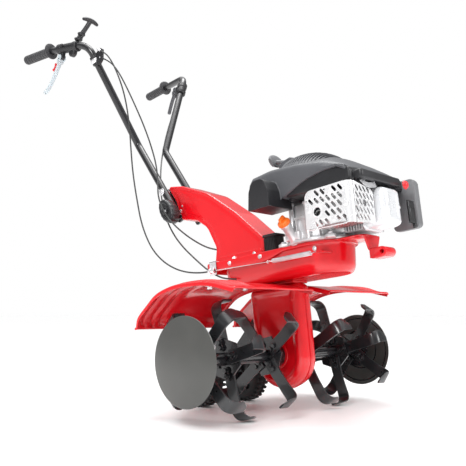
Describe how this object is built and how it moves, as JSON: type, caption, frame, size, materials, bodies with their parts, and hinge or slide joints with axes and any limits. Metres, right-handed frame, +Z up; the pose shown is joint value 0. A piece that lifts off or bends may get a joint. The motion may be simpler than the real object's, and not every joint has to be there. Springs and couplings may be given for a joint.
{
  "type": "tiller",
  "caption": "Walk-behind petrol rotary tiller with a bladed rotor, side discs, red fenders, vertical-shaft engine, steering column and tubular handlebar.",
  "frame": {"origin": "centre of the object's footprint box on the ground, under blade tips and transport wheels", "axes": "+X forward in the working direction, +Y to the operator's left, +Z up"},
  "size_m": [1.3974, 0.7898, 1.3323],
  "materials": {
    "red_paint": "gloss enamel",
    "black_paint": "gloss powder coat",
    "blade_steel": "semi-gloss black paint on steel",
    "disc_steel": "satin dark grey",
    "bare_steel": "machined",
    "zinc": "bright zinc plate",
    "cast_aluminium": "as cast",
    "guard_steel": "bright galvanised",
    "dark_plastic": "moulded, fine grain",
    "black_plastic": "moulded",
    "grey_plastic": "moulded",
    "white_cover": "satin light paint",
    "grip_rubber": "ribbed",
    "wheel_rubber": "matte",
    "orange_plastic": "moulded",
    "red_plastic": "moulded",
    "lever_plastic": "pale, milky",
    "belt_rubber": "fabric-faced"
  },
  "bodies": {
    "chassis": {"case_right": "red_paint", "case_left": "red_paint", "bearing_housings": "black_paint", "belt_cover": "red_paint", "deck_plate": "red_paint", "front_bumper": "red_paint", "fender_right": "red_paint", "fender_left": "red_paint", "body_bolts": "zinc", "column_shell": "red_paint", "handle_bracket": "black_paint", "cable_clips": "zinc", "drive_belt": "belt_rubber", "engine_block": "cast_aluminium", "cylinder_barrel": "cast_aluminium", "rocker_cover": "white_cover", "muffler": "bare_steel", "muffler_guard": "guard_steel", "engine_shroud": "dark_plastic", "recoil_cover": "dark_plastic", "carburetor": "cast_aluminium", "filter_box": "black_plastic", "filter_cover": "grey_plastic", "engine_bolts": "zinc", "wheel_bracket": "black_paint", "tension_spring": "zinc", "clutch_cable": "black_plastic", "throttle_cable": "black_plastic", "reverse_cable": "black_plastic"},
    "rotor": {"rotor_shaft": "bare_steel", "worm_wheel": "bare_steel", "hub_right": "black_paint", "hub_left": "black_paint", "blades_inner": "blade_steel", "blades_middle": "blade_steel", "blades_outer": "blade_steel", "rotor_fasteners": "zinc", "side_discs": "disc_steel"},
    "input_shaft": {"worm_shaft": "bare_steel", "driven_pulley": "cast_aluminium"},
    "crank": {"crankshaft": "bare_steel", "drive_pulley": "bare_steel", "flywheel": "cast_aluminium"},
    "tensioner": {"tension_arm": "red_paint"},
    "idler": {"tension_pulley": "bare_steel"},
    "right_wheel": {"wheel_right": "wheel_rubber"},
    "left_wheel": {"wheel_left": "wheel_rubber"},
    "handlebar": {"handle_tube_right": "black_paint", "handle_tube_left": "black_paint", "handle_bolts": "zinc", "hand_grips": "grip_rubber", "lever_mounts": "black_plastic"},
    "knob": {"clamp_knob": "black_plastic"},
    "right_lever": {"clutch_lever": "lever_plastic"},
    "left_lever": {"reverse_lever": "dark_plastic"},
    "catch": {"safety_lock": "red_plastic"},
    "palm_control": {"palm_lever": "black_plastic"},
    "starter": {"starter_grip": "grey_plastic"},
    "oil_filler_cap": {"oil_cap": "orange_plastic"},
    "primer": {"primer_button": "red_plastic"}
  },
  "joints": [
    {"name": "rotor_spin", "type": "hinge", "parent": "chassis", "child": "rotor", "pos_m": [0.31443, 0, 0.15804], "axis": [0, 1, 0], "continuous": true},
    {"name": "input_spin", "type": "hinge", "parent": "chassis", "child": "input_shaft", "pos_m": [0.26311, 0, 0.15265], "axis": [-0.1045, 0, 0.9945], "continuous": true},
    {"name": "crank_spin", "type": "hinge", "parent": "chassis", "child": "crank", "pos_m": [0.46009, 0, 0.475], "axis": [-0.1045, 0, 0.9945], "continuous": true},
    {"name": "tensioner_swing", "type": "hinge", "parent": "chassis", "child": "tensioner", "pos_m": [0.51463, -0.042, 0.43448], "axis": [0.1045, 0, -0.9945], "range_deg": [0, 5], "stiffness_Nm_per_rad": 1.5, "deforming": ["tension_spring"]},
    {"name": "idler_spin", "type": "hinge", "parent": "tensioner", "child": "idler", "pos_m": [0.45385, -0.058, 0.40999], "axis": [-0.1045, 0, 0.9945], "continuous": true},
    {"name": "right_wheel_spin", "type": "hinge", "parent": "chassis", "child": "right_wheel", "pos_m": [0.07443, -0.096, 0.08], "axis": [0, 1, 0], "continuous": true},
    {"name": "left_wheel_spin", "type": "hinge", "parent": "chassis", "child": "left_wheel", "pos_m": [0.07443, 0.096, 0.08], "axis": [0, 1, 0], "continuous": true},
    {"name": "handle_tilt", "type": "hinge", "parent": "chassis", "child": "handlebar", "pos_m": [-0.14982, 0, 0.68138], "axis": [0, 1, 0], "range_deg": [-12, 12], "deforming": ["clutch_cable", "throttle_cable", "reverse_cable"]},
    {"name": "knob_turn", "type": "hinge", "parent": "handlebar", "child": "knob", "pos_m": [-0.09024, -0.095, 0.60611], "axis": [0, 1, 0], "continuous": true},
    {"name": "clutch_squeeze", "type": "hinge", "parent": "handlebar", "child": "right_lever", "pos_m": [-0.50185, -0.26076, 1.19729], "axis": [0, 1, 0], "range_deg": [0, 30], "stiffness_Nm_per_rad": 1, "springref_deg": -14.32},
    {"name": "reverse_squeeze", "type": "hinge", "parent": "handlebar", "child": "left_lever", "pos_m": [-0.40416, 0.2057, 1.16826], "axis": [0, -1, 0], "range_deg": [0, 15], "stiffness_Nm_per_rad": 1, "springref_deg": -14.32},
    {"name": "catch_lift", "type": "hinge", "parent": "right_lever", "child": "catch", "pos_m": [-0.53145, -0.26326, 1.17759], "axis": [0, 1, 0], "range_deg": [0, 12], "stiffness_Nm_per_rad": 0.05, "springref_deg": -11.46},
    {"name": "palm_pull", "type": "slide", "parent": "handlebar", "child": "palm_control", "axis": [0.4184, 0.3127, 0.8527], "range_m": [0, 0.02], "stiffness_N_per_m": 400, "springref_m": -0.005},
    {"name": "starter_pull", "type": "slide", "parent": "chassis", "child": "starter", "axis": [-0.9945, 0, -0.1045], "range_m": [0, 0.03], "stiffness_N_per_m": 100, "springref_m": -0.02},
    {"name": "cap_turn", "type": "hinge", "parent": "chassis", "child": "oil_filler_cap", "pos_m": [0.42409, -0.124, 0.51144], "axis": [-0.0761, -0.6854, 0.7242], "range_deg": [0, 90]},
    {"name": "primer_press", "type": "slide", "parent": "chassis", "child": "primer", "axis": [-0.9945, 0, -0.1045], "range_m": [0, 0.004], "stiffness_N_per_m": 500}
  ],
  "couplings": [
    {"joint": "input_spin", "follows": "rotor_spin", "ratio": 20}
  ]
}
